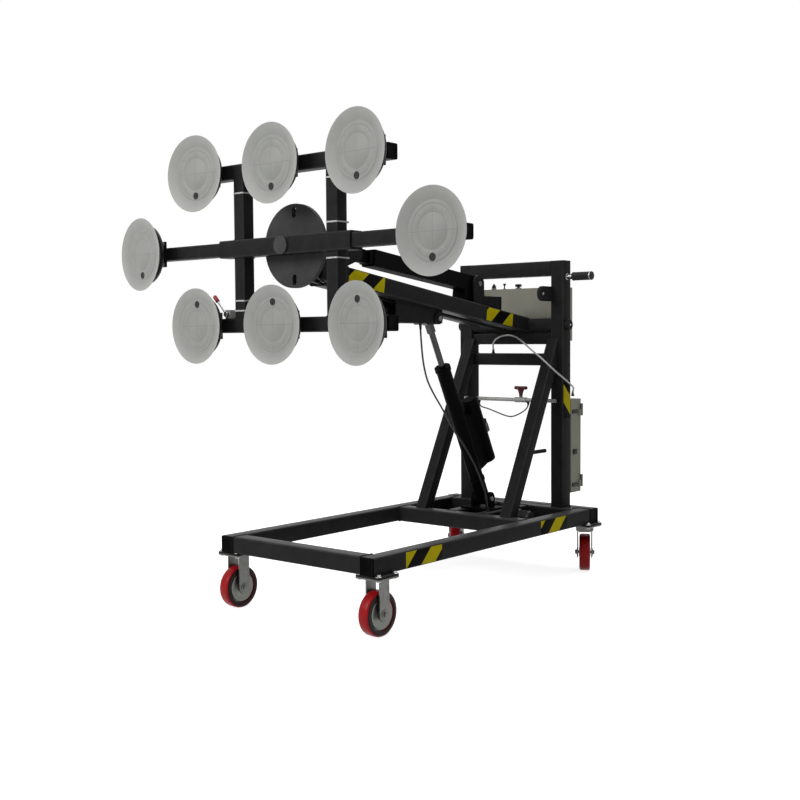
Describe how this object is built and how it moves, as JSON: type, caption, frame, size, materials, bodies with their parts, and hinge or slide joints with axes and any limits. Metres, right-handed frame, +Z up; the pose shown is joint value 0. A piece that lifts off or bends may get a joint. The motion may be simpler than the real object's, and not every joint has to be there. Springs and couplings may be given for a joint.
{
  "type": "vacuum glass panel lifter",
  "caption": "Wheeled trolley with a mast and a powered lifting boom that holds a turning rack of suction cups for lifting and tilting glass panels.",
  "frame": {"origin": "centre of the base frame on the floor", "axes": "+Z up, +Y to the rear where the mast and push handles stand, cups face -Y, X across the trolley"},
  "size_m": [1.6041, 1.577, 1.662],
  "materials": {
    "frame_paint": "satin",
    "actuator_black": "matte",
    "cup_rubber": "satin",
    "box_paint": "satin",
    "wheel_tread": "satin",
    "caster_steel": "satin",
    "chrome": "polished",
    "bright_steel": "satin",
    "black_plastic": "matte",
    "red_plastic": "gloss",
    "hose_white": "satin",
    "cable_black": "matte",
    "pump_aluminium": "satin"
  },
  "bodies": {
    "chassis": {"base_rails": "frame_paint", "base_cross_tubes": "frame_paint", "deck_plate": "frame_paint", "mast_posts": "frame_paint", "mast_cross_tubes": "frame_paint", "mast_braces": "frame_paint", "mast_fittings": "frame_paint", "actuator_foot": "frame_paint", "control_box": "box_paint", "equipment_cabinet": "box_paint", "push_handles": "black_plastic", "hose_rail": "bright_steel", "vacuum_pump": "pump_aluminium", "caster_brackets": "caster_steel", "chassis_pins": "bright_steel", "vacuum_hose": "hose_white", "slack_cable": "cable_black", "lift_cable": "cable_black"},
    "boom": {"boom_tubes": "frame_paint", "boom_pivot_tube": "frame_paint", "boom_nose": "frame_paint", "lift_bracket": "frame_paint", "tilt_tower": "frame_paint", "boom_pins": "bright_steel"},
    "lift_barrel": {"lift_barrel": "actuator_black", "lift_motor": "actuator_black"},
    "lift_rod": {"lift_rod": "chrome"},
    "tilt_barrel": {"tilt_barrel": "actuator_black"},
    "tilt_ram": {"tilt_ram": "frame_paint"},
    "head": {"head_yoke": "frame_paint"},
    "index_plunger": {"index_plunger": "bright_steel"},
    "rack": {"rotation_disc": "frame_paint", "rack_frame": "frame_paint", "arm_sleeve": "frame_paint", "cup_brackets": "frame_paint", "rack_plumbing": "hose_white"},
    "release_lever": {"release_lever": "red_plastic"},
    "left_arm": {"left_arm": "frame_paint"},
    "right_arm": {"right_arm": "frame_paint"},
    "cup_top_left": {"cup_top_left": "cup_rubber"},
    "cup_top_middle": {"cup_top_middle": "cup_rubber"},
    "cup_top_right": {"cup_top_right": "cup_rubber"},
    "cup_left": {"cup_left": "cup_rubber"},
    "cup_right": {"cup_right": "cup_rubber"},
    "cup_bottom_left": {"cup_bottom_left": "cup_rubber"},
    "cup_bottom_middle": {"cup_bottom_middle": "cup_rubber"},
    "cup_bottom_right": {"cup_bottom_right": "cup_rubber"},
    "wheel_front_left": {"wheel_front_left": "wheel_tread"},
    "wheel_front_right": {"wheel_front_right": "wheel_tread"},
    "wheel_rear_left": {"wheel_rear_left": "wheel_tread"},
    "wheel_rear_right": {"wheel_rear_right": "wheel_tread"},
    "swivel_left": {"swivel_fork_left": "caster_steel"},
    "brake_left": {"brake_pedal_left": "caster_steel"},
    "swivel_right": {"swivel_fork_right": "caster_steel"},
    "brake_right": {"brake_pedal_right": "caster_steel"},
    "cabinet_door": {"cabinet_door": "box_paint"},
    "emergency_stop": {"emergency_stop": "red_plastic"},
    "joystick": {"joystick": "black_plastic"},
    "toggle": {"toggle": "bright_steel"},
    "valve_handle": {"valve_handle": "red_plastic"}
  },
  "joints": [
    {"name": "boom_lift", "type": "hinge", "parent": "chassis", "child": "boom", "pos_m": [0, 0.62, 1.0095], "axis": [-1, 0, 0], "range_deg": [-12, 14], "deforming": ["lift_cable"]},
    {"name": "lift_barrel_swing", "type": "hinge", "parent": "chassis", "child": "lift_barrel", "pos_m": [0, 0.395, 0.305], "axis": [-1, 0, 0], "range_deg": [-4.68, 5.38]},
    {"name": "lift_rod_extend", "type": "slide", "parent": "lift_barrel", "child": "lift_rod", "axis": [0, -0.4429, 0.8966], "range_m": [-0.10975, 0.12754]},
    {"name": "head_tilt", "type": "hinge", "parent": "boom", "child": "head", "pos_m": [0, -0.55002, 1.18019], "axis": [1, 0, 0], "range_deg": [0, 90]},
    {"name": "tilt_barrel_swing", "type": "hinge", "parent": "boom", "child": "tilt_barrel", "pos_m": [0, 0.305, 1.17298], "axis": [-1, 0, 0], "range_deg": [-0.5, 4.01]},
    {"name": "tilt_ram_extend", "type": "slide", "parent": "tilt_barrel", "child": "tilt_ram", "axis": [0, -0.9926, 0.1211], "range_m": [-0.003, 0.25566]},
    {"name": "rack_turn", "type": "hinge", "parent": "head", "child": "rack", "pos_m": [0, -0.66002, 1.26859], "axis": [0, -1, 0], "range_deg": [-180, 180]},
    {"name": "plunger_slide", "type": "slide", "parent": "head", "child": "index_plunger", "axis": [0, -1, 0], "range_m": [0, 0.014]},
    {"name": "left_arm_slide", "type": "slide", "parent": "rack", "child": "left_arm", "axis": [-1, 0, 0], "range_m": [-0.12, 0.06]},
    {"name": "right_arm_slide", "type": "slide", "parent": "rack", "child": "right_arm", "axis": [1, 0, 0], "range_m": [-0.12, 0.06]},
    {"name": "release_turn", "type": "hinge", "parent": "rack", "child": "release_lever", "pos_m": [-0.285, -0.71801, 1.04619], "axis": [0, 1, 0], "range_deg": [0, 60]},
    {"name": "cup_top_left_swivel", "type": "hinge", "parent": "rack", "child": "cup_top_left", "pos_m": [-0.376, -0.74501, 1.53099], "axis": [0, 0, 1], "range_deg": [-5, 5]},
    {"name": "cup_top_middle_swivel", "type": "hinge", "parent": "rack", "child": "cup_top_middle", "pos_m": [0, -0.74501, 1.53099], "axis": [0, 0, 1], "range_deg": [-5, 5]},
    {"name": "cup_top_right_swivel", "type": "hinge", "parent": "rack", "child": "cup_top_right", "pos_m": [0.376, -0.74501, 1.53099], "axis": [0, 0, 1], "range_deg": [-5, 5]},
    {"name": "cup_left_swivel", "type": "hinge", "parent": "left_arm", "child": "cup_left", "pos_m": [-0.669, -0.74852, 1.26859], "axis": [0, 0, 1], "range_deg": [-5, 5]},
    {"name": "cup_right_swivel", "type": "hinge", "parent": "right_arm", "child": "cup_right", "pos_m": [0.669, -0.74852, 1.26859], "axis": [0, 0, 1], "range_deg": [-5, 5]},
    {"name": "cup_bottom_left_swivel", "type": "hinge", "parent": "rack", "child": "cup_bottom_left", "pos_m": [-0.376, -0.74501, 1.00619], "axis": [0, 0, 1], "range_deg": [-5, 5]},
    {"name": "cup_bottom_middle_swivel", "type": "hinge", "parent": "rack", "child": "cup_bottom_middle", "pos_m": [0, -0.74501, 1.00619], "axis": [0, 0, 1], "range_deg": [-5, 5]},
    {"name": "cup_bottom_right_swivel", "type": "hinge", "parent": "rack", "child": "cup_bottom_right", "pos_m": [0.376, -0.74501, 1.00619], "axis": [0, 0, 1], "range_deg": [-5, 5]},
    {"name": "wheel_front_left_spin", "type": "hinge", "parent": "chassis", "child": "wheel_front_left", "pos_m": [-0.33, -0.645, 0.075], "axis": [1, 0, 0], "continuous": true},
    {"name": "swivel_left_turn", "type": "hinge", "parent": "chassis", "child": "swivel_left", "pos_m": [-0.33, 0.645, 0.1797], "axis": [0, 0, 1], "continuous": true},
    {"name": "wheel_rear_left_spin", "type": "hinge", "parent": "swivel_left", "child": "wheel_rear_left", "pos_m": [-0.35297, 0.68369, 0.075], "axis": [0.8599, 0.5105, 0], "continuous": true},
    {"name": "brake_left_press", "type": "hinge", "parent": "swivel_left", "child": "brake_left", "pos_m": [-0.36982, 0.71207, 0.158], "axis": [-0.8599, -0.5105, 0], "range_deg": [0, 12]},
    {"name": "wheel_front_right_spin", "type": "hinge", "parent": "chassis", "child": "wheel_front_right", "pos_m": [0.33, -0.645, 0.075], "axis": [1, 0, 0], "continuous": true},
    {"name": "swivel_right_turn", "type": "hinge", "parent": "chassis", "child": "swivel_right", "pos_m": [0.33, 0.645, 0.1797], "axis": [0, 0, 1], "continuous": true},
    {"name": "wheel_rear_right_spin", "type": "hinge", "parent": "swivel_right", "child": "wheel_rear_right", "pos_m": [0.30703, 0.68369, 0.075], "axis": [0.8599, 0.5105, 0], "continuous": true},
    {"name": "brake_right_press", "type": "hinge", "parent": "swivel_right", "child": "brake_right", "pos_m": [0.29018, 0.71207, 0.158], "axis": [-0.8599, -0.5105, 0], "range_deg": [0, 12]},
    {"name": "cabinet_door_swing", "type": "hinge", "parent": "chassis", "child": "cabinet_door", "pos_m": [0.2665, 0.7275, 0.5125], "axis": [0, 0, -1], "range_deg": [0, 110]},
    {"name": "emergency_stop_press", "type": "slide", "parent": "chassis", "child": "emergency_stop", "axis": [0, 0, -1], "range_m": [0, 0.004], "stiffness_N_per_m": 1500},
    {"name": "joystick_tilt", "type": "hinge", "parent": "chassis", "child": "joystick", "pos_m": [-0.157, 0.7, 1.173], "axis": [1, 0, 0], "range_deg": [-15, 15], "stiffness_Nm_per_rad": 0.3},
    {"name": "toggle_tilt", "type": "hinge", "parent": "chassis", "child": "toggle", "pos_m": [-0.102, 0.7, 1.169], "axis": [1, 0, 0], "range_deg": [-12, 12]},
    {"name": "valve_turn", "type": "hinge", "parent": "chassis", "child": "valve_handle", "pos_m": [0.061, 0.582, 0.714], "axis": [0, 0, 1], "range_deg": [0, 90]}
  ],
  "couplings": [
    {"joint": "lift_barrel_swing", "follows": "boom_lift", "ratio": 0.34855},
    {"joint": "lift_rod_extend", "follows": "boom_lift", "m_per_rad": 0.50969},
    {"joint": "tilt_barrel_swing", "follows": "head_tilt", "ratio": 0.03901},
    {"joint": "tilt_ram_extend", "follows": "head_tilt", "m_per_rad": 0.16085}
  ]
}
